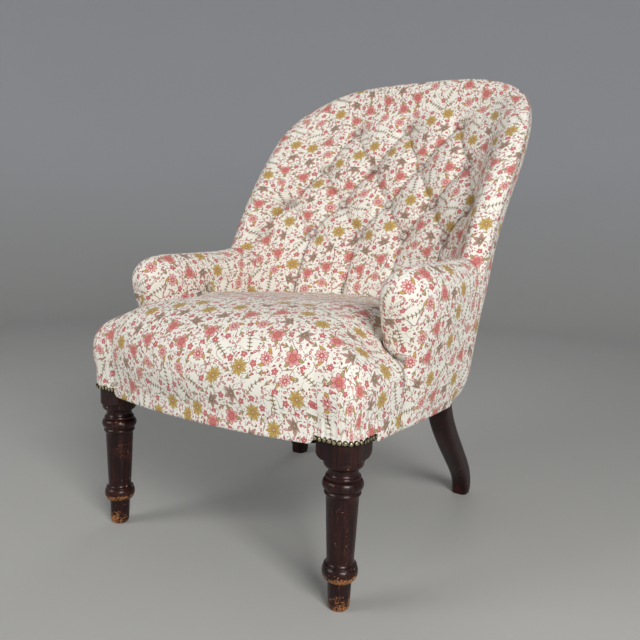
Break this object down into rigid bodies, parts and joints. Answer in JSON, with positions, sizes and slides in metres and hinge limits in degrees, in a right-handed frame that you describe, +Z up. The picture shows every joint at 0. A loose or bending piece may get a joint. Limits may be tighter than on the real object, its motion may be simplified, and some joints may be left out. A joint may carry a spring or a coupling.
{
  "type": "slipper chair",
  "caption": "low upholstered slipper chair with a buttoned tub back, short padded arms, a sprung seat with a bowed front, turned front legs and raked rear legs",
  "frame": {"origin": "on the floor, under the middle of the chair's bounding box", "axes": "+Z up, the chair faces -Y, and the sitter's left is +X"},
  "size_m": [0.568, 0.7012, 0.817],
  "materials": {
    "printed_cotton": "glazed upholstery cotton with an all-over flower print on cream",
    "show_wood": "dark mahogany polish, rubbed and chipped at the rings and feet",
    "frame_wood": "plain beech, not polished",
    "jute": "woven jute",
    "stuffing": "fibre and hair stuffing",
    "spring_steel": "coppered wire, dulled",
    "antique_brass": "antique brass, dark in the hollows",
    "dust_cloth": "thin black cotton"
  },
  "bodies": {
    "root": {"arm_button_left": "printed_cotton", "arm_button_right": "printed_cotton", "arm_post_left": "frame_wood", "arm_post_right": "frame_wood", "arm_rail_left": "frame_wood", "arm_rail_right": "frame_wood", "back_button_01": "printed_cotton", "back_button_02": "printed_cotton", "back_button_03": "printed_cotton", "back_button_04": "printed_cotton", "back_button_05": "printed_cotton", "back_button_06": "printed_cotton", "back_button_07": "printed_cotton", "back_button_08": "printed_cotton", "back_button_09": "printed_cotton", "back_button_10": "printed_cotton", "back_button_11": "printed_cotton", "back_button_12": "printed_cotton", "back_button_13": "printed_cotton", "back_button_14": "printed_cotton", "back_button_15": "printed_cotton", "back_button_16": "printed_cotton", "back_button_17": "printed_cotton", "back_button_18": "printed_cotton", "back_seat_rail": "frame_wood", "bottom_cloth": "dust_cloth", "corner_brace_left": "frame_wood", "corner_brace_right": "frame_wood", "crest_rail": "frame_wood", "front_leg_left": "show_wood", "front_leg_right": "show_wood", "front_seat_rail": "frame_wood", "inside_arm_left": "printed_cotton", "inside_arm_right": "printed_cotton", "inside_back": "printed_cotton", "lower_back_rail": "frame_wood", "nail_row_left": "antique_brass", "nail_row_right": "antique_brass", "outside_arm_left": "printed_cotton", "outside_arm_right": "printed_cotton", "outside_back": "printed_cotton", "rear_leg_left": "show_wood", "rear_leg_right": "show_wood", "seat_cover": "printed_cotton", "seat_spring_1": "spring_steel", "seat_spring_2": "spring_steel", "seat_spring_3": "spring_steel", "seat_spring_4": "spring_steel", "seat_spring_5": "spring_steel", "seat_stuffing": "stuffing", "side_seat_rail_left": "frame_wood", "side_seat_rail_right": "frame_wood", "spring_hessian": "jute", "webbing_cross_1": "jute", "webbing_cross_2": "jute", "webbing_cross_3": "jute", "webbing_long_1": "jute", "webbing_long_2": "jute", "webbing_long_3": "jute"}
  },
  "joints": []
}
